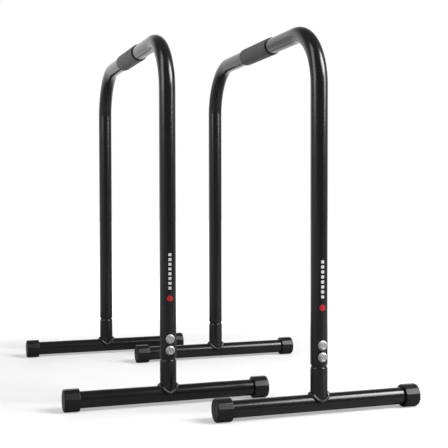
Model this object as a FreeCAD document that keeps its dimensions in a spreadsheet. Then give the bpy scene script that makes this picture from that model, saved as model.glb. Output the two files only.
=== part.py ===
import FreeCAD, Part
import math
import os
import Sketcher

# A pair of free-standing dip bars.  Each bar is a bent U of round tube that is
# bolted over two spigots.  Each spigot is the reduced end of a short post, and
# each post is welded to a foot tube that ends in two faceted rubber caps.
#
# Frame of the part, in millimetres: +Z up, floor at Z = 0, +Y from the front
# legs to the back legs, +X from the left bar to the right bar, origin on the
# floor at the middle of the pair.  The right bar stands nearer the front.

Vector = FreeCAD.Vector
Rotation = FreeCAD.Rotation
UP = Vector(0, 0, 1)
EIGHTH_TURN = 45.0
QUARTER_TURN = 90.0
HALF_TURN = 180.0

DIMENSIONS = (
    ("tube_od", 32.0),            # every tube is the same standard size
    ("tube_wall", 1.5),
    ("leg_spacing", 620.0),       # front leg axis to back leg axis
    ("bar_height", 718.0),        # floor to the axis of the hand bar
    ("bend_radius", 110.0),       # to the tube's centreline
    ("frame_end_height", 92.0),   # floor to the open ends of the U
    ("frame_rim_round", 1.2),
    ("bar_spacing", 245.0),       # left bar to right bar, across
    ("bar_stagger", 166.0),       # left bar to right bar, along
    ("grip_length", 154.0),
    ("grip_od", 37.0),
    ("grip_edge_round", 0.8),
    ("foot_length", 408.0),       # over both caps
    ("foot_axis_height", 21.0),   # equals half of cap_width, so the caps stand on the floor
    ("post_skirt_height", 24.0),  # lowest point of the coped end
    ("post_shoulder_low", 84.0),
    ("post_shoulder_high", 88.0),
    ("shoulder_swell", 0.3),      # how far the shoulder's middle stands out of a straight cone
    ("spigot_od", 28.8),
    ("spigot_top", 156.0),
    ("spigot_lead", 1.0),         # bevel that leads the spigot into the frame
    ("cap_width", 42.0),          # flat to flat
    ("cap_sides", 12),
    ("cap_length", 30.0),
    ("cap_end_wall", 3.0),
    ("cap_bevel", 2.4),
    ("bead_radius", 4.0),
    ("bead_clearance", 0.02),     # keeps the bead off the post where the tubes are tangent
    ("bolt_low_height", 107.5),
    ("bolt_pitch", 22.0),
    ("bolt_hole", 9.0),
    ("shank_diameter", 8.0),
    ("shank_length", 16.0),
    ("flange_diameter", 18.0),
    ("flange_rim", 1.4),
    ("flange_cone", 1.8),
    ("head_flats", 13.0),
    ("head_height", 6.4),         # flange and hexagon together
    ("nut_flats", 13.0),
    ("nut_inner_end", 3.6),       # distance of the nut's free end from the leg axis
)

SIDES = (("left", -1), ("right", 1))
ENDS = (("front", -1), ("back", 1))


def make_sheet(doc):
    """Write the driving dimensions as plain numbers, each under its own alias."""
    sheet = doc.addObject("Spreadsheet::Sheet", "Dims")
    for row, (alias, value) in enumerate(DIMENSIONS, start=1):
        sheet.set("A%d" % row, alias)
        sheet.set("B%d" % row, str(value))
        sheet.setAlias("B%d" % row, alias)
    doc.recompute()
    return sheet


def bind(thing, **expressions):
    """Bind properties to expressions; a double underscore stands for a dot."""
    for name, expression in expressions.items():
        thing.setExpression(name.replace("__", "."), expression)


def place(thing, across="0", along="0", up="0", turn=None):
    """Give an object its Placement: bound position and, where needed, a fixed turn."""
    if turn is not None:
        thing.Placement = FreeCAD.Placement(Vector(), turn)
    bind(thing, Placement__Base__x=across, Placement__Base__y=along, Placement__Base__z=up)


# ---------------------------------------------------------------- sketch helpers

def origin_plane(body, role):
    return next(item for item in body.Origin.OriginFeatures if item.Role == role)


def new_sketch(body, name, role, lift=None):
    """A sketch on one of the body's own origin planes, lifted off it if asked."""
    sketch = body.newObject("Sketcher::SketchObject", name)
    sketch.AttachmentSupport = [(origin_plane(body, role), "")]
    sketch.MapMode = "FlatFace"
    if lift is not None:
        bind(sketch, AttachmentOffset__Base__z=lift)
    return sketch


def add_circle(sketch, radius, height=None):
    """A circle on the sketch's upright axis, at the origin or at a bound height."""
    start_height = 0 if height is None else 1
    index = sketch.addGeometry(Part.Circle(Vector(0, start_height, 0), UP, 1))
    if height is None:
        sketch.addConstraint(Sketcher.Constraint("Coincident", index, 3, -1, 1))
    else:
        sketch.addConstraint(Sketcher.Constraint("PointOnObject", index, 3, -2))
        rise = sketch.addConstraint(Sketcher.Constraint("DistanceY", -1, 1, index, 3, 1))
        sketch.setExpression("Constraints[%d]" % rise, height)
    size = sketch.addConstraint(Sketcher.Constraint("Radius", index, 1))
    sketch.setExpression("Constraints[%d]" % size, radius)


def add_ring(sketch, outer, inner):
    add_circle(sketch, outer)
    add_circle(sketch, inner)


def add_outline(sketch, corners):
    """A closed outline; each corner is a pair of expressions, across and up."""
    count = len(corners)
    spots = []
    for index in range(count):
        angle = 2 * math.pi * index / count
        spots.append(Vector(20 + 10 * math.cos(angle), 60 + 10 * math.sin(angle), 0))
    for index in range(count):
        sketch.addGeometry(Part.LineSegment(spots[index], spots[(index + 1) % count]))
    for index, (across, up) in enumerate(corners):
        follower = (index + 1) % count
        sketch.addConstraint(Sketcher.Constraint("Coincident", index, 2, follower, 1))
        for kind, start, expression in (
            ("DistanceX", spots[index].x, across),
            ("DistanceY", spots[index].y, up),
        ):
            number = sketch.addConstraint(Sketcher.Constraint(kind, -1, 1, index, 1, start))
            sketch.setExpression("Constraints[%d]" % number, expression)


def pad_both_ways(body, sketch, length):
    pad = body.newObject("PartDesign::Pad", "Pad")
    pad.Profile = sketch
    pad.SideType = "Symmetric"
    bind(pad, Length=length)
    return pad


def cut_holes(body, sketch, name, depth, towards_normal):
    """Cut a sketch's circles in one direction and make sure that they met the wall."""
    body.Document.recompute()
    before = body.Shape.Volume
    pocket = body.newObject("PartDesign::Pocket", name)
    pocket.Profile = sketch
    pocket.Reversed = towards_normal
    bind(pocket, Length=depth)
    body.Document.recompute()
    if not body.Shape.Volume < before - 1:
        raise RuntimeError("%s removed nothing from %s" % (name, body.Label))
    return pocket


def edges_where(shape, test):
    """Names of the edges whose middle of the bounding box passes the test."""
    names = []
    for index, edge in enumerate(shape.Edges, start=1):
        if test(edge, edge.BoundBox.Center):
            names.append("Edge%d" % index)
    return names


# ---------------------------------------------------------------- the bent U

def frame_path(body):
    """Up the front leg, round a bend, along the hand bar and down the back leg."""
    sketch = new_sketch(body, "Path", "YZ_Plane")
    low, corner, top, span, radius = 100, 600, 700, 600, 100
    quarter = math.pi / 2
    front_bend = Part.ArcOfCircle(
        Part.Circle(Vector(radius, corner, 0), UP, radius), quarter, 2 * quarter
    )
    back_bend = Part.ArcOfCircle(
        Part.Circle(Vector(span - radius, corner, 0), UP, radius), 0, quarter
    )
    front_leg, bend_in, hand_bar, bend_out, back_leg = sketch.addGeometry([
        Part.LineSegment(Vector(0, low, 0), Vector(0, corner, 0)),
        front_bend,
        Part.LineSegment(Vector(radius, top, 0), Vector(span - radius, top, 0)),
        back_bend,
        Part.LineSegment(Vector(span, corner, 0), Vector(span, low, 0)),
    ])
    joints = (
        ("Tangent", front_leg, 2, bend_in, 2),
        ("Tangent", bend_in, 1, hand_bar, 1),
        ("Tangent", hand_bar, 2, bend_out, 2),
        ("Tangent", bend_out, 1, back_leg, 1),
        ("PointOnObject", front_leg, 1, -2),
        ("Vertical", front_leg),
        ("Horizontal", hand_bar),
        ("Vertical", back_leg),
        ("Equal", bend_in, bend_out),
    )
    for joint in joints:
        sketch.addConstraint(Sketcher.Constraint(*joint))
    sizes = (
        ("DistanceY", -1, 1, front_leg, 1, low, "Dims.frame_end_height"),
        ("DistanceY", -1, 1, back_leg, 2, low, "Dims.frame_end_height"),
        ("DistanceX", -1, 1, back_leg, 2, span, "Dims.leg_spacing"),
        ("DistanceY", -1, 1, hand_bar, 1, top, "Dims.bar_height"),
        ("Radius", bend_in, radius, "Dims.bend_radius"),
    )
    for *size, expression in sizes:
        number = sketch.addConstraint(Sketcher.Constraint(*size))
        sketch.setExpression("Constraints[%d]" % number, expression)
    return sketch


def add_bolt_holes(body, name, lift, towards_normal):
    """Two clearance holes through the outer wall of a leg, one above the other."""
    sketch = new_sketch(body, name + "_sketch", "XZ_Plane", lift)
    add_circle(sketch, "Dims.bolt_hole / 2", "Dims.bolt_low_height")
    add_circle(sketch, "Dims.bolt_hole / 2", "Dims.bolt_low_height + Dims.bolt_pitch")
    return cut_holes(body, sketch, name, "Dims.tube_od", towards_normal)


def make_frame_tube(doc, label, across, along):
    body = doc.addObject("PartDesign::Body", label)
    path = frame_path(body)
    section = new_sketch(body, "Section", "XY_Plane", "Dims.frame_end_height")
    add_ring(section, "Dims.tube_od / 2", "Dims.tube_od / 2 - Dims.tube_wall")
    pipe = body.newObject("PartDesign::AdditivePipe", "BentTube")
    pipe.Profile = section
    pipe.Spine = path
    doc.recompute()
    dims = doc.Dims
    wall_area = math.pi * dims.tube_wall * (dims.tube_od - dims.tube_wall)
    expected = wall_area * path.Shape.Length
    if abs(body.Shape.Volume / expected - 1) > 0.001:
        raise RuntimeError("%s doesn't have the volume of a bent tube" % label)

    def is_open_rim(edge, centre):
        low = abs(centre.z - dims.frame_end_height) < 0.01
        return low and edge.Length > math.pi * (dims.tube_od - 1)

    rim = body.newObject("PartDesign::Fillet", "RoundedRims")
    rim.Base = (pipe, edges_where(pipe.Shape, is_open_rim))
    bind(rim, Radius="Dims.frame_rim_round")
    doc.recompute()
    add_bolt_holes(body, "FrontHoles", None, True)
    add_bolt_holes(body, "BackHoles", "-Dims.leg_spacing", False)
    place(body, across, along)
    return body


def make_grip_sleeve(doc, label, across, along):
    """The straight sleeve pushed over the middle of the hand bar."""
    body = doc.addObject("PartDesign::Body", label)
    section = new_sketch(body, "Section", "XZ_Plane")
    add_ring(section, "Dims.grip_od / 2", "Dims.tube_od / 2")
    pad = pad_both_ways(body, section, "Dims.grip_length")
    doc.recompute()
    dims = doc.Dims

    def is_outer_edge(edge, centre):
        at_end = abs(abs(centre.y) - dims.grip_length / 2) < 0.01
        return at_end and edge.Length > math.pi * (dims.grip_od - 1)

    rounds = body.newObject("PartDesign::Fillet", "RoundedEnds")
    rounds.Base = (pad, edges_where(pad.Shape, is_outer_edge))
    bind(rounds, Radius="Dims.grip_edge_round")
    place(body, across, along, "Dims.bar_height")
    return body


# ---------------------------------------------------------------- one foot

def make_foot_tube(doc, label, across, along):
    body = doc.addObject("PartDesign::Body", label)
    section = new_sketch(body, "Section", "YZ_Plane")
    add_ring(section, "Dims.tube_od / 2", "Dims.tube_od / 2 - Dims.tube_wall")
    pad_both_ways(body, section, "Dims.foot_length - 2 * Dims.cap_end_wall")
    place(body, across, along, "Dims.foot_axis_height")
    return body


def make_post(doc, label, across, along, turn):
    """A short post, coped over the foot tube, with its top reduced to a spigot."""
    body = doc.addObject("PartDesign::Body", label)
    profile = new_sketch(body, "Wall", "XZ_Plane")
    outer = "Dims.tube_od / 2"
    bore = "Dims.tube_od / 2 - Dims.tube_wall"
    neck = "Dims.spigot_od / 2"
    neck_bore = "Dims.spigot_od / 2 - Dims.tube_wall"
    add_outline(profile, (
        (bore, "Dims.post_skirt_height"),
        (outer, "Dims.post_skirt_height"),
        (outer, "Dims.post_shoulder_low"),
        ("(Dims.tube_od + Dims.spigot_od) / 4 + Dims.shoulder_swell",
         "(Dims.post_shoulder_low + Dims.post_shoulder_high) / 2 + 2 * Dims.shoulder_swell"),
        (neck, "Dims.post_shoulder_high"),
        (neck, "Dims.spigot_top - Dims.spigot_lead"),
        (neck + " - Dims.spigot_lead / 2", "Dims.spigot_top"),
        (neck_bore, "Dims.spigot_top"),
        (neck_bore, "Dims.post_shoulder_high - Dims.tube_wall"),
        (bore, "Dims.post_shoulder_low - Dims.tube_wall"),
    ))
    turned = body.newObject("PartDesign::Revolution", "TurnedWall")
    turned.Profile = profile
    turned.ReferenceAxis = (profile, ["V_Axis"])
    turned.Angle = 360
    saddle = new_sketch(body, "Saddle", "YZ_Plane", "-Dims.tube_od")
    add_circle(saddle, "Dims.tube_od / 2", "Dims.foot_axis_height")
    cut_holes(body, saddle, "Cope", "2 * Dims.tube_od", True)
    add_bolt_holes(body, "SpigotHoles", None, True)
    place(body, across, along, turn=turn)
    return body


def make_weld_bead(doc, label, across, along):
    """A round bead along the saddle where the post meets the foot tube.

    Two equal tubes that cross at a right angle meet along two half ellipses,
    each in a plane at 45 degrees.
    """
    tilt = Rotation(Vector(0, 1, 0), -EIGHTH_TURN)
    curve = doc.addObject("Part::Ellipse", label + "_curve")
    bind(curve, MajorRadius="Dims.tube_od / sqrt(2)", MinorRadius="Dims.tube_od / 2")
    curve.Angle1 = HALF_TURN + QUARTER_TURN
    curve.Angle2 = QUARTER_TURN
    place(curve, up="Dims.foot_axis_height", turn=tilt)
    section = doc.addObject("Part::Circle", label + "_section")
    bind(section, Radius="Dims.bead_radius")
    place(section, along="-Dims.tube_od / 2", up="Dims.foot_axis_height", turn=tilt.inverted())
    sweep = doc.addObject("Part::Sweep", label + "_sweep")
    sweep.Sections = [section]
    sweep.Spine = (curve, ["Edge1"])
    sweep.Solid = True
    opposite = doc.addObject("Part::Mirroring", label + "_opposite")
    opposite.Source = sweep
    opposite.Normal = Vector(1, 0, 0)
    rounds = []
    for name, sign in (("_near", "-"), ("_far", "")):
        ball = doc.addObject("Part::Sphere", label + name)
        bind(ball, Radius="Dims.bead_radius")
        place(ball, along=sign + "Dims.tube_od / 2", up="Dims.foot_axis_height")
        rounds.append(ball)
    rope = doc.addObject("Part::MultiFuse", label + "_rope")
    rope.Shapes = [sweep, opposite] + rounds
    rope.Refine = False
    foot = doc.addObject("Part::Cylinder", label + "_foot")
    bind(foot, Radius="Dims.tube_od / 2", Height="4 * Dims.tube_od")
    lying = Rotation(Vector(0, 1, 0), QUARTER_TURN)
    place(foot, across="-2 * Dims.tube_od", up="Dims.foot_axis_height", turn=lying)
    post = doc.addObject("Part::Cylinder", label + "_post")
    bind(post, Radius="Dims.tube_od / 2 + Dims.bead_clearance", Height="4 * Dims.tube_od")
    above_foot = doc.addObject("Part::Cut", label + "_above_foot")
    above_foot.Base = rope
    above_foot.Tool = foot
    above_foot.Refine = False
    bead = doc.addObject("Part::Cut", label)
    bead.Base = above_foot
    bead.Tool = post
    bead.Refine = False
    place(bead, across, along)
    return bead


def make_cap(doc, label, across, along, turn):
    """A twelve-sided rubber cap that stands on one of its flats."""
    body = doc.addObject("PartDesign::Body", label)
    prism = body.newObject("PartDesign::AdditivePrism", "Block")
    prism.AttachmentSupport = [(origin_plane(body, "YZ_Plane"), "")]
    prism.MapMode = "FlatFace"
    dims = doc.Dims
    half_side = HALF_TURN / dims.cap_sides
    prism.AttachmentOffset = FreeCAD.Placement(Vector(), Rotation(UP, half_side))
    bind(
        prism,
        Polygon="Dims.cap_sides",
        Circumradius="Dims.cap_width / 2 / cos(180 deg / Dims.cap_sides)",
        Height="Dims.cap_length",
    )
    doc.recompute()

    def is_end_edge(edge, centre):
        return abs(centre.x - dims.cap_length) < 0.01

    bevel = body.newObject("PartDesign::Chamfer", "EndBevel")
    bevel.Base = (prism, edges_where(prism.Shape, is_end_edge))
    bind(bevel, Size="Dims.cap_bevel")
    doc.recompute()
    mouth = new_sketch(body, "Mouth", "YZ_Plane")
    add_circle(mouth, "Dims.tube_od / 2")
    cut_holes(body, mouth, "Socket", "Dims.cap_length - Dims.cap_end_wall", True)
    place(body, across, along, "Dims.foot_axis_height", turn)
    return body


# ---------------------------------------------------------------- fasteners

FACING_OUT = Rotation(Vector(1, 0, 0), QUARTER_TURN)   # turns +Z to -Y, out of the leg


def hexagon(doc, label, flats, height):
    prism = doc.addObject("Part::Prism", label)
    prism.Polygon = 6
    bind(prism, Circumradius=flats + " / 2 / cos(30 deg)", Height=height)
    return prism


def make_bolt(doc, label, up):
    """A flanged hexagon bolt, its flange on the leg's outer wall, shank inwards."""
    rim = doc.addObject("Part::Cylinder", label + "_rim")
    bind(rim, Radius="Dims.flange_diameter / 2", Height="Dims.flange_rim")
    cone = doc.addObject("Part::Cone", label + "_cone")
    bind(
        cone,
        Radius1="Dims.flange_diameter / 2",
        Radius2="Dims.head_flats / 2",
        Height="Dims.flange_cone",
    )
    place(cone, up="Dims.flange_rim")
    head = hexagon(doc, label + "_hexagon", "Dims.head_flats", "Dims.head_height")
    shank = doc.addObject("Part::Cylinder", label + "_shank")
    bind(shank, Radius="Dims.shank_diameter / 2", Height="Dims.shank_length")
    place(shank, up="-Dims.shank_length")
    bolt = doc.addObject("Part::MultiFuse", label)
    bolt.Shapes = [rim, cone, head, shank]
    bolt.Refine = True
    place(bolt, along="-Dims.tube_od / 2", up=up, turn=FACING_OUT)
    return bolt


def make_nut(doc, label, up):
    """A weld nut inside the spigot, its outer face curved to sit on the wall."""
    depth = "Dims.spigot_od / 2 - Dims.nut_inner_end"
    blank = hexagon(doc, label + "_blank", "Dims.nut_flats", depth)
    place(blank, along="-Dims.nut_inner_end", up=up, turn=FACING_OUT)
    bore = doc.addObject("Part::Cylinder", label + "_bore")
    bind(bore, Radius="Dims.spigot_od / 2 - Dims.tube_wall", Height="Dims.spigot_top")
    curved = doc.addObject("Part::MultiCommon", label + "_curved")
    curved.Shapes = [blank, bore]
    thread = doc.addObject("Part::Cylinder", label + "_thread")
    bind(thread, Radius="Dims.shank_diameter / 2", Height="Dims.tube_od")
    place(thread, up=up, turn=FACING_OUT)
    nut = doc.addObject("Part::Cut", label)
    nut.Base = curved
    nut.Tool = thread
    return nut


def make_pair(doc, label, make_one, across, along, turn):
    """The lower and the upper fastener of one leg, as two separate solids."""
    heights = (
        ("_lower", "Dims.bolt_low_height"),
        ("_upper", "Dims.bolt_low_height + Dims.bolt_pitch"),
    )
    pair = doc.addObject("Part::Compound", label)
    pair.Links = [make_one(doc, label + name, height) for name, height in heights]
    place(pair, across, along, turn=turn)
    return pair


# ---------------------------------------------------------------- assembly

def make_foot(doc, prefix, end_sign, across, along):
    """Everything below the open end of one leg; the back feet are turned round."""
    turn = Rotation(UP, 0 if end_sign < 0 else HALF_TURN)
    mouth = "(Dims.foot_length / 2 - Dims.cap_length)"
    left_mouth = across + " - " + mouth
    right_mouth = across + " + " + mouth
    return [
        make_foot_tube(doc, prefix + "_foot_tube", across, along),
        make_post(doc, prefix + "_post", across, along, turn),
        make_weld_bead(doc, prefix + "_weld_bead", across, along),
        make_pair(doc, prefix + "_bolts", make_bolt, across, along, turn),
        make_pair(doc, prefix + "_weld_nuts", make_nut, across, along, turn),
        make_cap(doc, prefix + "_cap_left", left_mouth, along, Rotation(UP, HALF_TURN)),
        make_cap(doc, prefix + "_cap_right", right_mouth, along, Rotation(UP, 0)),
    ]


def make_bar(doc, side, sign):
    """One complete bar: the U, its grip and its two feet."""
    across = "%d * Dims.bar_spacing / 2" % sign
    middle = "%d * Dims.bar_stagger / 2" % -sign
    nodes = [
        make_frame_tube(doc, side + "_frame_tube", across, middle + " - Dims.leg_spacing / 2"),
        make_grip_sleeve(doc, side + "_grip_sleeve", across, middle),
    ]
    for end, end_sign in ENDS:
        along = "%s + %d * Dims.leg_spacing / 2" % (middle, end_sign)
        nodes += make_foot(doc, side + "_" + end, end_sign, across, along)
    return nodes


def check_document(doc, nodes):
    for item in doc.Objects:
        if "Invalid" in item.State or "Error" in item.State:
            raise RuntimeError("%s failed: %s" % (item.Label, item.State))
    for node in nodes:
        if node.Shape.isNull() or not node.Shape.isValid():
            raise RuntimeError("%s has no valid shape" % node.Label)


def main():
    doc = FreeCAD.newDocument("dip_bars")
    make_sheet(doc)
    nodes = []
    for side, sign in SIDES:
        nodes += make_bar(doc, side, sign)
    doc.recompute()
    check_document(doc, nodes)
    os.makedirs("parts", exist_ok=True)
    for node in nodes:
        node.Shape.exportStep("parts/%s.step" % node.Label)
        size = node.Shape.BoundBox
        print("%-28s solids %d  volume %9.1f  x %7.1f..%7.1f  y %7.1f..%7.1f  z %6.1f..%6.1f" % (
            node.Label, len(node.Shape.Solids), node.Shape.Volume,
            size.XMin, size.XMax, size.YMin, size.YMax, size.ZMin, size.ZMax,
        ))


main()
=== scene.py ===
# %% [markdown]
# # A pair of free-standing dip bars
#
# This lesson dresses a finished design.  The design already fixes every size, so
# nothing here moves or resizes it.  The work in Blender is to build clean, smooth
# surfaces over it, and to give each surface a finish that looks like the real thing:
# black powder coat, moulded rubber, zinc plate and a welder's bead.

# %% Load the fixed frame
import math

import bmesh
import bpy
from mathutils import Matrix, Vector


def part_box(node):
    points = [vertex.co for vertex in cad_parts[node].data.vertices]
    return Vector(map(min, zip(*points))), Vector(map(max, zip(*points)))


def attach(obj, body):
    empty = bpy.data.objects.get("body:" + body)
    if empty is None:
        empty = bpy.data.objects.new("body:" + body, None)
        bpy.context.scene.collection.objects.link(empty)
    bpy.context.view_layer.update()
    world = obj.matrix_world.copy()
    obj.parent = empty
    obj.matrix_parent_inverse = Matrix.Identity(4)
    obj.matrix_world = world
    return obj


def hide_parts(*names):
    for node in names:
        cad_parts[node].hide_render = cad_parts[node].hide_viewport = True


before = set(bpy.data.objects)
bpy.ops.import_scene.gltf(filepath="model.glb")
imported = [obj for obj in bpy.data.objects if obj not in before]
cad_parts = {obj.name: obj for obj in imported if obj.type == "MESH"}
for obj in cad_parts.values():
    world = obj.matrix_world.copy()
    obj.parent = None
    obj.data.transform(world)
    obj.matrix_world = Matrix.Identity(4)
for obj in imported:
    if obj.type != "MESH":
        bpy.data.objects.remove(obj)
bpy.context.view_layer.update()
MM = 0.001
TOUCH = 0.01 * MM                # a point nearer than this to a line lies on it
SAME_POINT = 0.001 * MM          # points nearer than this are merged

# %% [markdown]
# The sizes are read from the design rather than typed again.  A tube that stands
# upright tells its radius by how wide its box is, and the hand bar's height is the
# top of that box less one radius.

# %% Read the driving sizes
SIDES = ("left", "right")
ENDS = ("front", "back")
LEGS = [(side, end) for side in SIDES for end in ENDS]


def box_middle(node):
    low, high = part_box(node)
    return (low + high) / 2


frame_low, frame_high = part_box("left_frame_tube")
TUBE_RADIUS = (frame_high.x - frame_low.x) / 2
TUBE_WALL = 1.5 * MM
HAND_BAR_HEIGHT = frame_high.z - TUBE_RADIUS
LEG_END_HEIGHT = frame_low.z
BEND_RADIUS = 110 * MM
FOOT_AXIS_HEIGHT = box_middle("left_front_foot_tube").z
print("tube radius %.4f, hand bar at %.4f" % (TUBE_RADIUS, HAND_BAR_HEIGHT))

# %% [markdown]
# ## The camera
#
# A long lens from a little above half the bars' height keeps the legs upright and
# lets the far feet show between the near ones.  The camera is made first, so that
# every later step can be judged through it.

# %% Make the camera
camera_data = bpy.data.cameras.new("product_camera")
camera_data.lens = 71.89
camera_data.sensor_width = 36.0
camera = bpy.data.objects.new("product_camera", camera_data)
bpy.context.scene.collection.objects.link(camera)
bpy.context.scene.camera = camera
CAMERA_HEADING = math.radians(18.601)
CAMERA_DIP = math.radians(1.568)
CAMERA_ROLL = math.radians(-0.113)
aim = Matrix.Rotation(-CAMERA_HEADING, 3, "Z") @ Matrix.Rotation(math.pi / 2 - CAMERA_DIP, 3, "X")
aim = aim @ Matrix.Rotation(CAMERA_ROLL, 3, "Z")
camera.location = (-0.5719, -1.9050, 0.3983)
camera.rotation_euler = aim.to_euler()
print("camera at", tuple(camera.location))

# %% [markdown]
# ## Writing materials as arithmetic
#
# A node tree is a sum written as boxes and wires.  Wrapping a socket in a small
# class lets the sum be written as a sum, so `0.3 + 0.05 * grain` adds its own Math
# nodes.  One method, `node`, adds every other kind of node.

# %% A socket that can be added and multiplied
class Wire:
    """One output socket of a node tree."""

    def __init__(self, tree, socket=None):
        self.tree = tree
        self.socket = socket

    def node(self, kind, values=None, output=0, **settings):
        """Add a node: its settings first, then the values or wires of its sockets."""
        made = self.tree.nodes.new(kind)
        for name, value in settings.items():
            setattr(made, name, value)
        for name, value in (values or {}).items():
            if isinstance(value, Wire):
                self.tree.links.new(value.socket, made.inputs[name])
            else:
                made.inputs[name].default_value = value
        return Wire(self.tree, made.outputs[output])

    def arithmetic(self, operation, first, second):
        return self.node("ShaderNodeMath", {0: first, 1: second}, operation=operation)

    def __add__(self, other):
        return self.arithmetic("ADD", self, other)

    __radd__ = __add__

    def __sub__(self, other):
        return self.arithmetic("SUBTRACT", self, other)

    def __rsub__(self, other):
        return self.arithmetic("SUBTRACT", other, self)

    def __mul__(self, other):
        return self.arithmetic("MULTIPLY", self, other)

    __rmul__ = __mul__

    def between(self, low, high):
        """0 below low, 1 above high and a smooth step from one to the other."""
        values = {"Value": self, "From Min": low, "From Max": high}
        return self.node("ShaderNodeMapRange", values, interpolation_type="SMOOTHSTEP")

    def tint(self, dark, light):
        """A colour that goes from dark to light as this wire goes from 0 to 1."""
        values = {0: self, 6: (*dark, 1), 7: (*light, 1)}
        return self.node("ShaderNodeMix", values, output=2, data_type="RGBA")


# %% [markdown]
# Every finish starts from the same few steps, so they are written once here.  `grain`
# gives its lumps a size in metres, which keeps each finish true to the object's scale.

# %% A material to start from
def start_material(name, **constants):
    """A material, a wire for its tree, the surface node and object coordinates."""
    material = bpy.data.materials.new(name)
    material.use_nodes = True
    tree = material.node_tree
    surface = tree.nodes["Principled BSDF"]
    for socket, value in constants.items():
        surface.inputs[socket.replace("_", " ")].default_value = value
    wire = Wire(tree)
    place = wire.node("ShaderNodeTexCoord", output="Object")
    return material, wire, surface, place


def connect(surface, **wires):
    """Join wires to the surface's sockets; an underscore stands for a space."""
    for socket, wire in wires.items():
        wire.tree.links.new(wire.socket, surface.inputs[socket.replace("_", " ")])


def grain(wire, place, size, detail=2.0, roughness=0.5):
    """Noise whose lumps are about `size` metres across."""
    values = {"Vector": place, "Scale": 1 / size, "Detail": detail, "Roughness": roughness}
    return wire.node("ShaderNodeTexNoise", values)


def bump(wire, height, strength, depth):
    """A normal from a height wire; depth is the tallest lump in metres."""
    values = {"Height": height, "Strength": strength, "Distance": depth}
    return wire.node("ShaderNodeBump", values)


# %% [markdown]
# ## Black powder coat
#
# Powder is melted onto the steel, so it flows into a skin with faint dimples about a
# millimetre across, the "orange peel".  The black itself hardly varies.  What the eye
# reads is the highlight, so the variation goes into roughness and bump.

# %% Make the powder coat
POWDER_BLACK = (0.0045, 0.0045, 0.0048)
POWDER_DUSTY = (0.0080, 0.0080, 0.0084)


def make_powder_coat():
    """A glossy black skin with fine dimples and a few dusty specks."""
    material, wire, surface, place = start_material(
        "black_powder_coat", Specular_IOR_Level=0.5, IOR=1.5
    )
    peel = grain(wire, place, 1.3 * MM, detail=1.0)
    flow = grain(wire, place, 22 * MM, detail=3.0)
    dust = grain(wire, place, 3.5 * MM, detail=5.0, roughness=0.7).between(0.6, 0.74)
    colour = (0.75 * flow + 0.25 * dust).tint(POWDER_BLACK, POWDER_DUSTY)
    rough = 0.18 + 0.06 * flow + 0.05 * dust
    relief = 0.8 * peel + 0.2 * flow
    connect(
        surface,
        Base_Color=colour,
        Roughness=rough,
        Normal=bump(wire, relief, 0.03, 0.1 * MM),
    )
    return material


powder_coat = make_powder_coat()
print("made", powder_coat.name)

# %% [markdown]
# ## Rubber
#
# The caps and the grips are both black rubber, but they leave the mould differently.
# A cap has an even, slightly greasy matte skin.  A grip is stippled so that a damp hand
# doesn't slide, which a Voronoi pattern of tiny cells gives.

# %% Make the two rubbers
CAP_BLACK = (0.0030, 0.0030, 0.0032)
CAP_BLOOM = (0.0055, 0.0055, 0.0058)
GRIP_BLACK = (0.036, 0.036, 0.0365)
GRIP_GREY = (0.048, 0.048, 0.0485)


def make_cap_rubber():
    """An even matte skin with a few glossier specks."""
    material, wire, surface, place = start_material("cap_rubber", IOR=1.42)
    skin = grain(wire, place, 0.9 * MM, detail=3.0)
    patch = grain(wire, place, 14 * MM, detail=2.0)
    specks = grain(wire, place, 1.6 * MM, detail=1.0).between(0.62, 0.72)
    colour = (0.7 * patch + 0.3 * specks).tint(CAP_BLACK, CAP_BLOOM)
    rough = 0.36 + 0.10 * patch - 0.05 * specks
    connect(
        surface,
        Base_Color=colour,
        Roughness=rough,
        Normal=bump(wire, skin, 0.22, 0.15 * MM),
    )
    return material


def make_grip_rubber():
    """A dull skin stippled with cells a millimetre wide."""
    material, wire, surface, place = start_material("grip_rubber", IOR=1.5)
    cells = wire.node(
        "ShaderNodeTexVoronoi",
        {"Vector": place, "Scale": 1 / (1.1 * MM)},
        feature="SMOOTH_F1",
    )
    patch = grain(wire, place, 18 * MM, detail=2.0)
    colour = (0.6 * patch + 0.4 * cells).tint(GRIP_BLACK, GRIP_GREY)
    rough = 0.50 + 0.12 * patch
    connect(
        surface,
        Base_Color=colour,
        Roughness=rough,
        Normal=bump(wire, 1 - cells, 0.15, 0.12 * MM),
    )
    return material


cap_rubber = make_cap_rubber()
grip_rubber = make_grip_rubber()
print("made", cap_rubber.name, "and", grip_rubber.name)

# %% [markdown]
# ## Zinc plate
#
# Zinc on a bolt has a faint blue cast, soft clouds where the bath ran uneven and fine
# strokes left by the tooling.  The strokes are noise that a Mapping node turns and
# stretches.  Metallic is 1, so the colour tints what the metal reflects, and a high
# roughness spreads it to the dull grey of worn plate.

# %% Make the zinc plate
ZINC_DULL = (0.34, 0.35, 0.36)
ZINC_CLEAN = (0.66, 0.67, 0.68)
STROKE_TURN = (0, 0.7, 0)        # radians, so that the strokes lie aslant
STROKE_SQUEEZE = (5, 1, 0.4)     # narrow along X, long along Z


def make_zinc_plate():
    """A clouded metal with slanting strokes and small pits."""
    material, wire, surface, place = start_material("zinc_plate", Metallic=1.0)
    clouds = grain(wire, place, 4 * MM, detail=3.0)
    pits = grain(wire, place, 0.8 * MM, detail=2.0)
    slant = wire.node(
        "ShaderNodeMapping",
        {"Vector": place, "Rotation": STROKE_TURN, "Scale": STROKE_SQUEEZE},
    )
    strokes = grain(wire, slant, 1.5 * MM, detail=2.0)
    colour = (0.5 * clouds + 0.5 * strokes).tint(ZINC_DULL, ZINC_CLEAN)
    rough = 0.52 + 0.12 * clouds
    connect(
        surface,
        Base_Color=colour,
        Roughness=rough,
        Normal=bump(wire, 0.4 * pits + 0.6 * strokes, 0.5, 0.15 * MM),
    )
    return material


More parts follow.
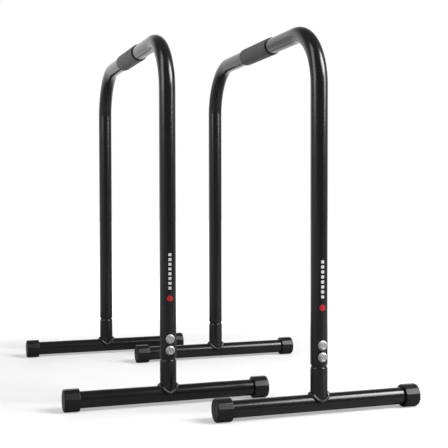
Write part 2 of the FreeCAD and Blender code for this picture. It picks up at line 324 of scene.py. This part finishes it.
zinc_plate = make_zinc_plate()
print("made", zinc_plate.name)

# %% [markdown]
# ## Inks
#
# Each front leg carries a small printed mark.  Here it is a column of plain white
# dashes over a plain red dot, with no lettering.  Ink on film is a thin satin layer,
# so both inks are one recipe with different colours.

# %% Make the two inks
def make_ink(name, dark, light):
    """A satin ink whose colour wanders a little between dark and light."""
    material, wire, surface, place = start_material(name, IOR=1.46)
    fade = grain(wire, place, 6 * MM, detail=3.0)
    connect(
        surface,
        Base_Color=fade.tint(dark, light),
        Roughness=0.34 + 0.1 * fade,
        Normal=bump(wire, grain(wire, place, 1.2 * MM), 0.05, 0.05 * MM),
    )
    return material


white_ink = make_ink("white_ink", (0.62, 0.62, 0.62), (0.74, 0.74, 0.74))
red_ink = make_ink("red_ink", (0.40, 0.012, 0.02), (0.52, 0.02, 0.03))
print("made", white_ink.name, "and", red_ink.name)

# %% [markdown]
# ## Turning a bmesh into a piece
#
# Every piece ends the same way.  Its doubles are merged, its normals face out, flat
# faces keep their crisp edges, and it rides on the bar that it belongs to.

# %% Finish a piece
CREASE = math.radians(32)


def finish_piece(bm, name, material, side, stands_for=()):
    """Clean the mesh, give it its finish and hand it to the bar it belongs to."""
    bmesh.ops.remove_doubles(bm, verts=bm.verts[:], dist=SAME_POINT)
    bmesh.ops.recalc_face_normals(bm, faces=bm.faces[:])
    mesh = bpy.data.meshes.new(name)
    bm.to_mesh(mesh)
    bm.free()
    mesh.materials.append(material)
    mesh.shade_smooth()
    mesh.set_sharp_from_angle(angle=CREASE)
    piece = bpy.data.objects.new(name, mesh)
    bpy.context.scene.collection.objects.link(piece)
    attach(piece, side + "_bar")
    if stands_for:
        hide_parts(*stands_for)
    return piece


def only(kind, geometry):
    """The items of one kind, such as vertices, in what an operator returns."""
    return [item for item in geometry if isinstance(item, kind)]


# %% [markdown]
# ## Tubes
#
# A tube is a ring pulled along a path.  Both the outer and the inner circle are
# pulled together, and a bridge closes each end, so the tube has a real wall and a
# real rim.  `extrude_edge_only` makes the straight runs and `spin` makes the bends.

# %% Pull a ring along a straight run or round a bend
ROUND = 96                       # sides of a tube's circle


def ring_section(bm, outer, inner, place):
    """The outer and the inner circle of a tube, as loose edges."""
    for radius in (outer, inner):
        bmesh.ops.create_circle(bm, segments=ROUND, radius=radius, matrix=place)
    return bm.edges[:]


def pull(bm, edges, move, steps):
    """Extrude loops of edges along a straight run."""
    for _ in range(steps):
        made = bmesh.ops.extrude_edge_only(bm, edges=edges)["geom"]
        corners = only(bmesh.types.BMVert, made)
        bmesh.ops.translate(bm, verts=corners, vec=move / steps)
        fresh = set(corners)
        edges = [edge for edge in only(bmesh.types.BMEdge, made) if fresh.issuperset(edge.verts)]
    return edges


def bend(bm, edges, centre, angle, steps):
    """Turn loops of edges about a crosswise axis through the bend's centre."""
    made = bmesh.ops.spin(bm, geom=edges, cent=centre, axis=(1, 0, 0), angle=angle, steps=steps)
    return only(bmesh.types.BMEdge, made["geom_last"])


def round_rim(bm, height, on_circle, amount, segments):
    """Bevel the edges at that height whose ends `on_circle` says are on the circle."""
    def on_rim(edge):
        level = all(abs(corner.co.z - height) < TOUCH for corner in edge.verts)
        return level and all(on_circle(corner.co) for corner in edge.verts)

    bmesh.ops.bevel(
        bm, geom=[edge for edge in bm.edges if on_rim(edge)], offset=amount,
        segments=segments, profile=0.5, affect="EDGES", material=-1,
    )


# %% [markdown]
# ### The bent frame
#
# One length of steel goes up, over and down.  The bends are cold-formed on a die, so
# they are true arcs, and the open ends are rounded where the saw's burr was taken off.

# %% Bend the frame tubes
LEG_STEPS = 28
BEND_STEPS = 44
BAR_STEPS = 24
RIM_ROUND = 1.2 * MM


def make_frame_tube(side):
    low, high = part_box(side + "_frame_tube")
    across = (low.x + high.x) / 2
    front = low.y + TUBE_RADIUS
    back = high.y - TUBE_RADIUS
    corner = HAND_BAR_HEIGHT - BEND_RADIUS
    rise = Vector((0, 0, corner - LEG_END_HEIGHT))
    reach = Vector((0, back - front - 2 * BEND_RADIUS, 0))
    bm = bmesh.new()
    foot_of_leg = Matrix.Translation((across, front, LEG_END_HEIGHT))
    first = ring_section(bm, TUBE_RADIUS, TUBE_RADIUS - TUBE_WALL, foot_of_leg)
    bmesh.ops.bridge_loops(bm, edges=first)
    last = pull(bm, first, rise, LEG_STEPS)
    last = bend(bm, last, (across, front + BEND_RADIUS, corner), -math.pi / 2, BEND_STEPS)
    last = pull(bm, last, reach, BAR_STEPS)
    last = bend(bm, last, (across, back - BEND_RADIUS, corner), -math.pi / 2, BEND_STEPS)
    last = pull(bm, last, -rise, LEG_STEPS)
    bmesh.ops.bridge_loops(bm, edges=last)

    def outer_circle(point):
        near = min((front, back), key=lambda leg: abs(point.y - leg))
        return abs(math.hypot(point.x - across, point.y - near) - TUBE_RADIUS) < TOUCH

    round_rim(bm, LEG_END_HEIGHT, outer_circle, RIM_ROUND, 4)
    return finish_piece(
        bm, side + "_bent_frame", powder_coat, side,
        [side + "_frame_tube"],
    )


frame_tubes = [make_frame_tube(side) for side in SIDES]
print("frame faces:", [len(piece.data.polygons) for piece in frame_tubes])

# %% [markdown]
# ### The grip sleeves
#
# The grip is a length of thick rubber hose pushed over the hand bar.  It is the same
# tube idea with a fatter wall, and its ends are cut square with the edge just broken.

# %% Slide on the grips
GRIP_STEPS = 40
GRIP_EDGE = 0.8 * MM


def square_tube(bm, start, turn, outer, inner, run, steps):
    """A straight tube with both ends closed by flat rims."""
    place = Matrix.Translation(start) @ turn
    first = ring_section(bm, outer, inner, place)
    bmesh.ops.bridge_loops(bm, edges=first)
    last = pull(bm, first, run, steps)
    bmesh.ops.bridge_loops(bm, edges=last)


def make_grip(side):
    low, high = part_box(side + "_grip_sleeve")
    middle = (low + high) / 2
    outer = (high.x - low.x) / 2
    run = Vector((0, high.y - low.y, 0))
    bm = bmesh.new()
    start = Vector((middle.x, low.y, middle.z))
    turn = Matrix.Rotation(math.pi / 2, 4, "X")
    square_tube(bm, start, turn, outer, TUBE_RADIUS, run, GRIP_STEPS)

    def on_end(edge):
        points = [vert.co - middle for vert in edge.verts]
        at_end = all(abs(abs(point.y) - run.y / 2) < TOUCH for point in points)
        return at_end and all(math.hypot(point.x, point.z) > outer - TOUCH for point in points)

    bmesh.ops.bevel(
        bm, geom=[edge for edge in bm.edges if on_end(edge)], offset=GRIP_EDGE,
        segments=3, profile=0.5, affect="EDGES", material=-1,
    )
    return finish_piece(
        bm, side + "_grip", grip_rubber, side, [side + "_grip_sleeve"]
    )


grips = [make_grip(side) for side in SIDES]
print("grip faces:", [len(piece.data.polygons) for piece in grips])

# %% [markdown]
# ### The foot tubes
#
# A foot is the same tube again, lying across.  Its ends are inside the rubber caps.

# %% Lay down the foot tubes
FOOT_STEPS = 36


def make_foot_tube(side, end):
    node = "%s_%s_foot_tube" % (side, end)
    low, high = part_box(node)
    middle = (low + high) / 2
    bm = bmesh.new()
    start = Vector((low.x, middle.y, middle.z))
    turn = Matrix.Rotation(math.pi / 2, 4, "Y")
    run = Vector((high.x - low.x, 0, 0))
    square_tube(bm, start, turn, TUBE_RADIUS, TUBE_RADIUS - TUBE_WALL, run, FOOT_STEPS)
    name = "%s_%s_cross_foot" % (side, end)
    return finish_piece(bm, name, powder_coat, side, [node])


cross_feet = [make_foot_tube(side, end) for side, end in LEGS]
print("made", len(cross_feet), "foot tubes")

# %% [markdown]
# ## The posts
#
# A post is turned work: a straight stub, a rounded shoulder and a thinner spigot that
# goes up inside the leg.  The wall is drawn as half a section and spun about the leg's
# axis.  Its lower end is then coped: every point of the bottom ring drops onto the foot
# tube, whose surface stands at a height that depends only on the point's distance
# from the foot's axis.

# %% Turn the posts and cope their lower ends
SPIGOT_RADIUS = 14.4 * MM
SHOULDER_LOW = 84 * MM
SHOULDER_HIGH = 88 * MM
SHOULDER_STEPS = 8
SPIGOT_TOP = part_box("left_front_post")[1].z


def chain(bm, corners):
    """Loose edges from point to point."""
    points = [bm.verts.new(corner) for corner in corners]
    for start, stop in zip(points, points[1:]):
        bm.edges.new((start, stop))
    return points


def shoulder():
    """A quarter of an ellipse from the stub's wall to the spigot's wall."""
    points = []
    for step in range(SHOULDER_STEPS + 1):
        angle = math.pi / 2 * step / SHOULDER_STEPS
        radius = SPIGOT_RADIUS + (TUBE_RADIUS - SPIGOT_RADIUS) * math.cos(angle)
        height = SHOULDER_LOW + (SHOULDER_HIGH - SHOULDER_LOW) * math.sin(angle)
        points.append((radius, 0, height))
    return points


def make_post(side, end):
    """Spin the wall of a post about its leg's axis, then cope it over the foot."""
    node = "%s_%s_post" % (side, end)
    centre = box_middle(node)
    brow = FOOT_AXIS_HEIGHT + TUBE_RADIUS
    bore = TUBE_RADIUS - TUBE_WALL
    neck_bore = SPIGOT_RADIUS - TUBE_WALL
    bm = bmesh.new()
    wall = [(bore, 0, brow), (TUBE_RADIUS, 0, brow)] + shoulder() + [
        (SPIGOT_RADIUS, 0, SPIGOT_TOP), (neck_bore, 0, SPIGOT_TOP),
        (neck_bore, 0, SHOULDER_HIGH), (bore, 0, SHOULDER_LOW), (bore, 0, brow),
    ]
    chain(bm, wall)
    bmesh.ops.spin(
        bm, geom=bm.verts[:] + bm.edges[:], cent=(0, 0, 0), axis=(0, 0, 1),
        angle=2 * math.pi, steps=ROUND, use_merge=True,
    )
    for vert in bm.verts:
        if abs(vert.co.z - brow) < TOUCH:
            over_axis = math.sqrt(max(TUBE_RADIUS ** 2 - vert.co.y ** 2, 0))
            vert.co.z = FOOT_AXIS_HEIGHT + over_axis
    bmesh.ops.translate(bm, verts=bm.verts[:], vec=(centre.x, centre.y, 0))
    name = "%s_%s_spigot_post" % (side, end)
    return finish_piece(bm, name, powder_coat, side, [node])


posts = [make_post(side, end) for side, end in LEGS]
print("made", len(posts), "posts")

# %% [markdown]
# ## The weld beads
#
# Two equal tubes that cross at a right angle meet along a saddle.  Seen from in front
# it is a V that dips to the middle of the foot, and the metal rounds and partly fills
# the bottom of that V.  The bead starts as a plain ring made by spinning a small
# circle.  Each point is then lifted onto the saddle, and the bead's thickness swells
# and shrinks along the way, because a welder's hand lays the metal down in
# overlapping drops.

# %% Lay the weld beads
BEAD_SIDES = 14
BEAD_STEPS = 320
BEAD_DROPS = 64
BEAD_PHASE = 0.9                 # shifts the drops from one bead to the next
BEAD_IN_CROTCH = 5.0 * MM
BEAD_ON_FLANK = 4.2 * MM
DIP_SOFTNESS = 0.35              # rounds the bottom of the V
DIP_FILL = 0.25                  # how much of the V's depth the metal fills


def saddle_height(angle):
    """The bead's middle above the foot's axis, as a share of the tube's radius."""
    rounded = math.hypot(math.cos(angle), DIP_SOFTNESS) - DIP_SOFTNESS
    deepest = math.hypot(1, DIP_SOFTNESS) - DIP_SOFTNESS
    return DIP_FILL + (1 - DIP_FILL) * rounded / deepest


def bead_size(angle, out, up, phase):
    """How thick the bead is there, with its drops and a hand's slow wander."""
    crotch = abs(math.cos(angle))
    lean = 1.1 * up ** 2
    drop = abs(math.sin(BEAD_DROPS / 2 * angle + phase + lean))
    wander = math.sin(5 * angle + phase) + 0.6 * math.sin(11 * angle + 2 * phase)
    size = BEAD_ON_FLANK + (BEAD_IN_CROTCH - BEAD_ON_FLANK) * crotch ** 0.8
    size *= 0.92 + 0.13 * drop + 0.05 * wander
    return size * (1 - 0.34 * abs(out * up) * crotch)


def lay_on_saddle(vert, phase):
    """Move one point of a plain ring to its place on the rippled saddle bead."""
    angle = math.atan2(vert.co.y, vert.co.x)
    out = (math.hypot(vert.co.x, vert.co.y) - TUBE_RADIUS) / MM
    up = vert.co.z / MM
    size = bead_size(angle, out, up, phase)
    reach = TUBE_RADIUS + out * size
    saddle = FOOT_AXIS_HEIGHT + TUBE_RADIUS * saddle_height(angle)
    vert.co = (reach * math.cos(angle), reach * math.sin(angle), saddle + up * size)


def make_weld(side, end, phase):
    node = "%s_%s_weld_bead" % (side, end)
    centre = box_middle(node)
    bm = bmesh.new()
    place = Matrix.Translation((TUBE_RADIUS, 0, 0)) @ Matrix.Rotation(math.pi / 2, 4, "X")
    bmesh.ops.create_circle(bm, segments=BEAD_SIDES, radius=MM, matrix=place)
    bmesh.ops.spin(
        bm, geom=bm.verts[:] + bm.edges[:], cent=(0, 0, 0), axis=(0, 0, 1),
        angle=2 * math.pi, steps=BEAD_STEPS, use_merge=True,
    )
    for vert in bm.verts:
        lay_on_saddle(vert, phase)
    bmesh.ops.translate(bm, verts=bm.verts[:], vec=(centre.x, centre.y, 0))
    name = "%s_%s_weld" % (side, end)
    return finish_piece(bm, name, powder_coat, side, [node])


welds = [make_weld(side, end, BEAD_PHASE * number) for number, (side, end) in enumerate(LEGS)]
print("made", len(welds), "weld beads of", len(welds[0].data.polygons), "faces")

# %% [markdown]
# ## The rubber caps
#
# A cap is a twelve-sided prism that stands on one of its flats, so the bar can't roll.
# A mould leaves flat facets that meet at softened edges.  The prism is extruded from a
# twelve-sided circle and its edges are bevelled.  Each flat is then inset a little,
# so that the smooth shading of a soft edge stays at the edge and the flat stays flat.

# %% Mould the caps
CAP_SIDES = 12
SOCKET_SIDES = 48
CAP_EDGE = 0.7 * MM
CAP_BEVEL = 2.4 * MM
CAP_MOUTH_EDGE = 0.6 * MM
CAP_END_WALL = 3 * MM
CAP_FLAT_MARGIN = 0.25 * MM
SMALLEST_FLAT = 135 * MM ** 2    # a smaller face is part of an edge or of the socket
ALONG_X = Matrix.Rotation(math.pi / 2, 4, "Y")


def crosswise_circle(bm, sides, radius, x, turn=0.0):
    """A loose circle that faces along X, as a list of its edges."""
    place = Matrix.Translation((x, 0, 0)) @ ALONG_X @ Matrix.Rotation(turn, 4, "Z")
    made = bmesh.ops.create_circle(bm, segments=sides, radius=radius, matrix=place)
    return list({edge for vert in made["verts"] for edge in vert.link_edges})


def soften(bm, chosen, offset, segments):
    """Bevel the chosen edges."""
    bmesh.ops.bevel(
        bm, geom=chosen, offset=offset, segments=segments, profile=0.5,
        affect="EDGES", material=-1, clamp_overlap=True,
    )


def make_cap_blank(length, flat):
    """A closed twelve-sided prism from x = 0, the mouth, to x = length."""
    bm = bmesh.new()
    corner = flat / math.cos(math.pi / CAP_SIDES)
    rim = crosswise_circle(bm, CAP_SIDES, corner, 0.0, math.pi / CAP_SIDES)
    far = pull(bm, rim, Vector((length, 0, 0)), 1)
    bmesh.ops.edgeloop_fill(bm, edges=far)
    bmesh.ops.edgeloop_fill(bm, edges=rim)

    def at(edge, x):
        return all(abs(vert.co.x - x) < TOUCH for vert in edge.verts)

    soften(bm, [edge for edge in bm.edges if at(edge, length)], CAP_BEVEL, 4)
    soften(bm, [edge for edge in bm.edges if at(edge, 0)], CAP_MOUTH_EDGE, 2)
    lengthwise = [edge for edge in bm.edges if edge.calc_length() > 0.5 * length]
    return bm, lengthwise


def open_the_mouth(bm, length):
    """Cut the round socket: a ring of flat rubber, then the bore and its bottom."""
    mouth = min(bm.faces, key=lambda face: face.calc_center_median().x)
    outline = list(mouth.edges)
    bmesh.ops.delete(bm, geom=[mouth], context="FACES_ONLY")
    socket = crosswise_circle(bm, SOCKET_SIDES, TUBE_RADIUS, 0.0)
    bmesh.ops.bridge_loops(bm, edges=outline + socket)
    bottom = pull(bm, socket, Vector((length - CAP_END_WALL, 0, 0)), 1)
    bmesh.ops.edgeloop_fill(bm, edges=bottom)


def make_cap(side, end, hand):
    node = "%s_%s_cap_%s" % (side, end, hand)
    low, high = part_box(node)
    length = high.x - low.x
    flat = (high.z - low.z) / 2
    bm, lengthwise = make_cap_blank(length, flat)
    open_the_mouth(bm, length)
    soften(bm, lengthwise, CAP_EDGE, 3)
    flats = [face for face in bm.faces if face.calc_area() > SMALLEST_FLAT]
    bmesh.ops.inset_individual(bm, faces=flats, thickness=CAP_FLAT_MARGIN, use_even_offset=True)
    turn = Matrix.Rotation(math.pi if hand == "left" else 0, 4, "Z")
    mouth_x = high.x if hand == "left" else low.x
    middle = (low + high) / 2
    place = Matrix.Translation((mouth_x, middle.y, middle.z)) @ turn
    bmesh.ops.transform(bm, matrix=place, verts=bm.verts[:])
    name = "%s_%s_end_cap_%s" % (side, end, hand)
    return finish_piece(bm, name, cap_rubber, side, [node])


caps = [make_cap(side, end, hand) for side, end in LEGS for hand in ("left", "right")]
print("made", len(caps), "caps of", len(caps[0].data.polygons), "faces")

# %% [markdown]
# ## The bolts
#
# Two flanged hexagon bolts hold each leg to its post.  The flange is turned and the
# hexagon is pressed, with its corners rounded off by a cone and a shallow dish on top.
# The flange and shank are spun from a profile.  The head is extruded from a six-sided
# circle, and `bevel` breaks its edges.

# %% Turn the flange and shank, and press the head
HEX_HALF = 6.5 * MM              # half the spanner size
HEAD_HEIGHT = 6.4 * MM           # from the seat to the top of the hexagon
FLANGE_RADIUS = 9 * MM
FLANGE_RIM = 1.4 * MM
FLANGE_RISE = 1.8 * MM           # the cone above the rim
SHANK_RADIUS = 4 * MM
SHANK_LENGTH = 16 * MM
HEAD_EDGE = 0.55 * MM
DISH_LAND = 1.1 * MM             # the flat round the dish
DISH_SLOPE = 0.7 * MM
DISH_DEPTH = 0.5 * MM
TURNED_STEPS = 64
BOLT_HEIGHTS = (107.5 * MM, 129.5 * MM)
BOLT_TURNS = (17, 40)            # degrees at which each head came to rest


def spin_profile(bm, corners, steps):
    """Spin a half section, drawn as (radius, height), into closed turned work."""
    start = len(bm.verts)
    chain(bm, [(radius, 0, height) for radius, height in corners])
    bm.verts.ensure_lookup_table()
    section = set(bm.verts[start:])
    edges = [edge for edge in bm.edges if section.issuperset(edge.verts)]
    bmesh.ops.spin(
        bm, geom=list(section) + edges, cent=(0, 0, 0), axis=(0, 0, 1),
        angle=2 * math.pi, steps=steps, use_merge=True,
    )


def flange_profile():
    """Shank tip, shank, seat, a rounded rim, the cone, and a neck inside the head."""
    tip = -SHANK_LENGTH
    corner = 0.35 * MM
    return [
        (0, tip), (SHANK_RADIUS - MM, tip), (SHANK_RADIUS, tip + MM), (SHANK_RADIUS, 0),
        (FLANGE_RADIUS - corner, 0), (FLANGE_RADIUS - 0.1 * MM, 0.1 * MM),
        (FLANGE_RADIUS, corner), (FLANGE_RADIUS, FLANGE_RIM - corner),
        (FLANGE_RADIUS - 0.12 * MM, FLANGE_RIM - 0.08 * MM),
        (FLANGE_RADIUS - 0.5 * MM, FLANGE_RIM + 0.08 * MM),
        (HEX_HALF + 0.5 * MM, FLANGE_RIM + FLANGE_RISE - 0.35 * MM),
        (HEX_HALF - 0.2 * MM, FLANGE_RIM + FLANGE_RISE),
        (0, FLANGE_RIM + FLANGE_RISE),
    ]


def press_head(bm):
    """Extrude the hexagon, break its edges and dish its top."""
    corner = HEX_HALF / math.cos(math.pi / 6)
    place = Matrix.Translation((0, 0, FLANGE_RIM))
    made = bmesh.ops.create_circle(bm, segments=6, radius=corner, cap_ends=True, matrix=place)
    bottom = made["verts"][0].link_faces[0]
    rise = bmesh.ops.extrude_face_region(bm, geom=[bottom])["geom"]
    top_verts = only(bmesh.types.BMVert, rise)
    bmesh.ops.translate(bm, verts=top_verts, vec=(0, 0, HEAD_HEIGHT - FLANGE_RIM))
    hexagon = {edge for vert in top_verts for edge in vert.link_edges}
    bmesh.ops.bevel(
        bm, geom=list(hexagon), offset=HEAD_EDGE, segments=3, profile=0.5,
        affect="EDGES", material=-1,
    )
    top = max(bm.faces, key=lambda face: face.calc_center_median().z)
    bmesh.ops.inset_region(bm, faces=[top], thickness=DISH_LAND)
    bmesh.ops.inset_region(bm, faces=[top], thickness=DISH_SLOPE, depth=-DISH_DEPTH)


def make_bolts(side, end):
    node = "%s_%s_bolts" % (side, end)
    leg = box_middle("%s_%s_post" % (side, end))
    outward = -1 if end == "front" else 1
    bm = bmesh.new()
    for height, degrees in zip(BOLT_HEIGHTS, BOLT_TURNS):
        part = bmesh.new()
        spin_profile(part, flange_profile(), TURNED_STEPS)
        press_head(part)
        turn = Matrix.Rotation(-outward * math.pi / 2, 4, "X")
        twist = Matrix.Rotation(math.radians(degrees), 4, "Z")
        seat = Matrix.Translation((leg.x, leg.y + outward * TUBE_RADIUS, height))
        bmesh.ops.transform(part, matrix=seat @ turn @ twist, verts=part.verts[:])
        scratch = bpy.data.meshes.new("scratch")
        part.to_mesh(scratch)
        part.free()
        bm.from_mesh(scratch)
        bpy.data.meshes.remove(scratch)
    name = "%s_%s_leg_bolts" % (side, end)
    return finish_piece(bm, name, zinc_plate, side, [node])


bolts = [make_bolts(side, end) for side, end in LEGS]
print("made", len(bolts), "pairs of bolts of", len(bolts[0].data.polygons), "faces")

# %% [markdown]
# The weld nuts sit inside the spigots, where only a peep down an open tube would find
# them.  Their plain hexagons are already right, so the design's own pieces stay and
# only their finish changes.

# %% Plate the weld nuts
for side, end in LEGS:
    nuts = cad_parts["%s_%s_weld_nuts" % (side, end)]
    nuts.data.materials.clear()
    nuts.data.materials.append(zinc_plate)
print("plated", len(LEGS), "pairs of weld nuts")

# %% [markdown]
# ## The printed marks
#
# A mark is film stuck to a round tube, so it must wrap.  A dash starts as a flat grid
# with its corners rounded, and the dot as a spoke spun into a disc.  Both are then
# thickened, and each point is rolled onto the leg.

# %% Stick on the marks
FILM = 0.12 * MM
DASH_COUNT = 8
DASH_WIDTH = 6.0 * MM
DASH_TALL = 5.6 * MM
DASH_CORNER = 0.5 * MM
DASH_PITCH = 9.2 * MM
DASH_START = 20 * MM             # from the dot to the first dash
DOT_RADIUS = 6 * MM
DOT_RINGS = 6
DOT_SPOKES = 48
DOT_HEIGHTS = {"left": 208 * MM, "right": 199 * MM}
FACING_FRONT = Matrix.Rotation(math.pi / 2, 4, "X")


def flat_dash(bm, height):
    """A small flat rectangle with rounded corners, facing the front."""
    size = Matrix.Diagonal((DASH_WIDTH / 2, DASH_TALL / 2, 1, 1))
    place = Matrix.Translation((0, 0, height)) @ FACING_FRONT @ size
    made = bmesh.ops.create_grid(bm, x_segments=8, y_segments=2, size=1.0, matrix=place)
    corners = [vert for vert in made["verts"] if len(vert.link_faces) == 1]
    bmesh.ops.bevel(
        bm, geom=corners, offset=DASH_CORNER, segments=3, profile=0.5,
        affect="VERTICES", material=-1,
    )


def flat_dot(bm, height):
    """A disc of rings, fine enough to wrap: a spoke spun about its inner end."""
    chain(bm, [(DOT_RADIUS * ring / DOT_RINGS, 0, height) for ring in range(DOT_RINGS + 1)])
    bmesh.ops.spin(
        bm, geom=bm.verts[:] + bm.edges[:], cent=(0, 0, height), axis=(0, 1, 0),
        angle=2 * math.pi, steps=DOT_SPOKES, use_merge=True,
    )
    bmesh.ops.remove_doubles(bm, verts=bm.verts[:], dist=SAME_POINT)


def wrap_on_leg(bm, leg):
    """Thicken the flat film and roll it round the front of a leg."""
    made = bmesh.ops.extrude_face_region(bm, geom=bm.faces[:])["geom"]
    bmesh.ops.translate(bm, verts=only(bmesh.types.BMVert, made), vec=(0, -FILM, 0))
    for vert in bm.verts:
        angle = vert.co.x / TUBE_RADIUS
        reach = TUBE_RADIUS - vert.co.y
        vert.co.x = leg.x + reach * math.sin(angle)
        vert.co.y = leg.y - reach * math.cos(angle)


def make_marks(side):
    leg = box_middle(side + "_front_post")
    dashes = bmesh.new()
    for number in range(DASH_COUNT):
        flat_dash(dashes, DOT_HEIGHTS[side] + DASH_START + DASH_PITCH * number)
    wrap_on_leg(dashes, leg)
    dot = bmesh.new()
    flat_dot(dot, DOT_HEIGHTS[side])
    wrap_on_leg(dot, leg)
    return [
        finish_piece(dashes, side + "_white_mark", white_ink, side),
        finish_piece(dot, side + "_red_mark", red_ink, side),
    ]


marks = make_marks("left") + make_marks("right")
print("made", [piece.name for piece in marks])

# %% [markdown]
# ## The studio
#
# Black gloss is lit by what it reflects.  The steel sees a dim room with four soft
# sources: a broad box overhead and in front, which draws the bright line along each
# foot, a tall strip on each side, which draws the upright lines on the legs, and a
# bright back wall, which the hand bars pick up because they are seen end on.
#
# The lens sees a white set instead, with a painted shade on the floor round the bars.
# A retoucher would whiten the ground behind the black steel afterwards.  Light Path's
# Is Camera Ray does that here, as 1 for what the lens sees and 0 for what a surface
# reflects.  It is used on the floor and on the room, and never on the bars.

# %% Lay the floor
FLOOR_REACH = 14.0               # metres from the middle to each edge
FLOOR_TONE = 0.34                # how pale the floor is in reflections
LENS_TONE = 0.22                 # how much paler it is to the lens
LENS_GLOW_NEAR = 0.36            # the glow round the feet, kept low there as painted shade
LENS_GLOW_FAR = 0.5              # what the glow gains on the way out to the room, where the painted shade fades
SHINE_BEHIND = 0.75              # what the bars see in the floor behind them
SHINE_LEFT = 0.4
SHINE_RIGHT = 0.2


def floor_shine(wire, place):
    """How brightly each part of the floor shows in reflections."""
    across = wire.node("ShaderNodeSeparateXYZ", {"Vector": place}, output=0)
    behind = wire.node("ShaderNodeSeparateXYZ", {"Vector": place}, output=1).between(0.5, 1.4)
    left = (0 - across).between(0.6, 1.4)
    right = across.between(0.7, 1.5)
    beside = SHINE_LEFT * left + SHINE_RIGHT * right
    return SHINE_BEHIND * behind + beside * (1 - behind)


def grey(level):
    """A grey from a level; the smooth step deepens the dim half, lifts the bright."""
    return level.between(0, 1).tint((0, 0, 0), (1, 1, 1))


def make_floor():
    """A pale floor with painted shade round the bars: its glow is low near them and carries it up
    to the white of the room further out.
    """
    material, wire, surface, place = start_material("studio_floor", Roughness=0.6)
    drift = 0.02 * grain(wire, place, 0.8)
    distance = wire.node("ShaderNodeVectorMath", {0: place}, output=1, operation="LENGTH")
    seen = wire.node("ShaderNodeLightPath", output="Is Camera Ray")
    # Painted shade: to the lens the floor glows least round the bars, and more the farther it is
    # from them.
    lens_glow_with_painted_shade = LENS_GLOW_NEAR + LENS_GLOW_FAR * distance.between(0.5, 1.4)
    glow = seen * lens_glow_with_painted_shade + (1 - seen) * floor_shine(wire, place)
    base = FLOOR_TONE + drift + LENS_TONE * seen
    surface.inputs["Emission Strength"].default_value = 1.0
    connect(surface, Base_Color=grey(base), Emission_Color=grey(glow))
    bm = bmesh.new()
    bmesh.ops.create_grid(bm, x_segments=4, y_segments=4, size=FLOOR_REACH)
    mesh = bpy.data.meshes.new("studio_floor")
    bm.to_mesh(mesh)
    bm.free()
    mesh.materials.append(material)
    floor = bpy.data.objects.new("studio_floor", mesh)
    bpy.context.scene.collection.objects.link(floor)
    return floor


studio_floor = make_floor()
print("laid", studio_floor.name)

# %% [markdown]
# A softbox is an area light.  Its power is given here through its radiance, the
# brightness of its face, because that is what a reflection shows: power is radiance
# times pi times area.

# %% Hang the softboxes
def hang_softbox(name, place, target, width, height, radiance):
    """A rectangular area light at `place` that faces `target`, sizes in metres."""
    light = bpy.data.lights.new(name, "AREA")
    light.shape = "RECTANGLE"
    light.size = width
    light.size_y = height
    light.energy = radiance * math.pi * width * height
    softbox = bpy.data.objects.new(name, light)
    bpy.context.scene.collection.objects.link(softbox)
    look = Vector(target) - Vector(place)
    softbox.location = place
    softbox.rotation_euler = look.to_track_quat("-Z", "Y").to_euler()
    softbox.visible_camera = False
    return softbox


softboxes = [
    hang_softbox("overhead_box", (1.7, -1.65, 2.1), (0.1, -0.3, 0), 1.45, 1.25, 11.5),
    hang_softbox("left_strip", (-1.7, -0.55, 2.4), (0, -0.3, 2.4), 1.0, 3.3, 3.5),
    hang_softbox("right_strip", (2.1, -1.6, 2.5), (0, -0.3, 2.5), 0.9, 3.4, 10.0),
]
print("hung", [softbox.name for softbox in softboxes])

# %% [markdown]
# The room itself is painted by direction.  In reflections a bright band stands low
# behind the bars, two dimmer patches stand to the left and right of it, and the rest
# is dim.  To the lens it is plain white.

# %% Paint the room
ROOM_DIM = 0.16
BACK_WALL = 1.0
LEFT_PATCH = 0.5
RIGHT_PATCH = 0.25


def room_level(wire):
    """How bright the room is in each direction, as reflections show it."""
    direction = wire.node("ShaderNodeTexCoord", output="Generated")
    across = wire.node("ShaderNodeSeparateXYZ", {"Vector": direction}, output=0)
    along = wire.node("ShaderNodeSeparateXYZ", {"Vector": direction}, output=1)
    up = wire.node("ShaderNodeSeparateXYZ", {"Vector": direction}, output=2)
    behind = along.between(0.5, 0.9)
    left = (0 - across).between(0.6, 0.97)
    right = across.between(0.3, 0.9)
    low = 1 - up.between(0.3, 0.8)
    return ROOM_DIM + (BACK_WALL * behind + LEFT_PATCH * left + RIGHT_PATCH * right) * low


def paint_room():
    """A world that is white to the lens and unevenly lit in reflections."""
    world = bpy.data.worlds.new("white_room")
    bpy.context.scene.world = world
    world.use_nodes = True
    tree = world.node_tree
    wire = Wire(tree)
    level = room_level(wire)
    seen = wire.node("ShaderNodeLightPath", output="Is Camera Ray")
    strength = level + seen * (1.0 - level)
    backdrop = tree.nodes["Background"]
    tree.links.new(strength.socket, backdrop.inputs["Strength"])
    backdrop.inputs["Color"].default_value = (1, 1, 1, 1)
    return world


white_room = paint_room()
bpy.context.scene.view_settings.view_transform = "Standard"
bpy.context.scene.view_settings.look = "None"
print("painted", white_room.name)
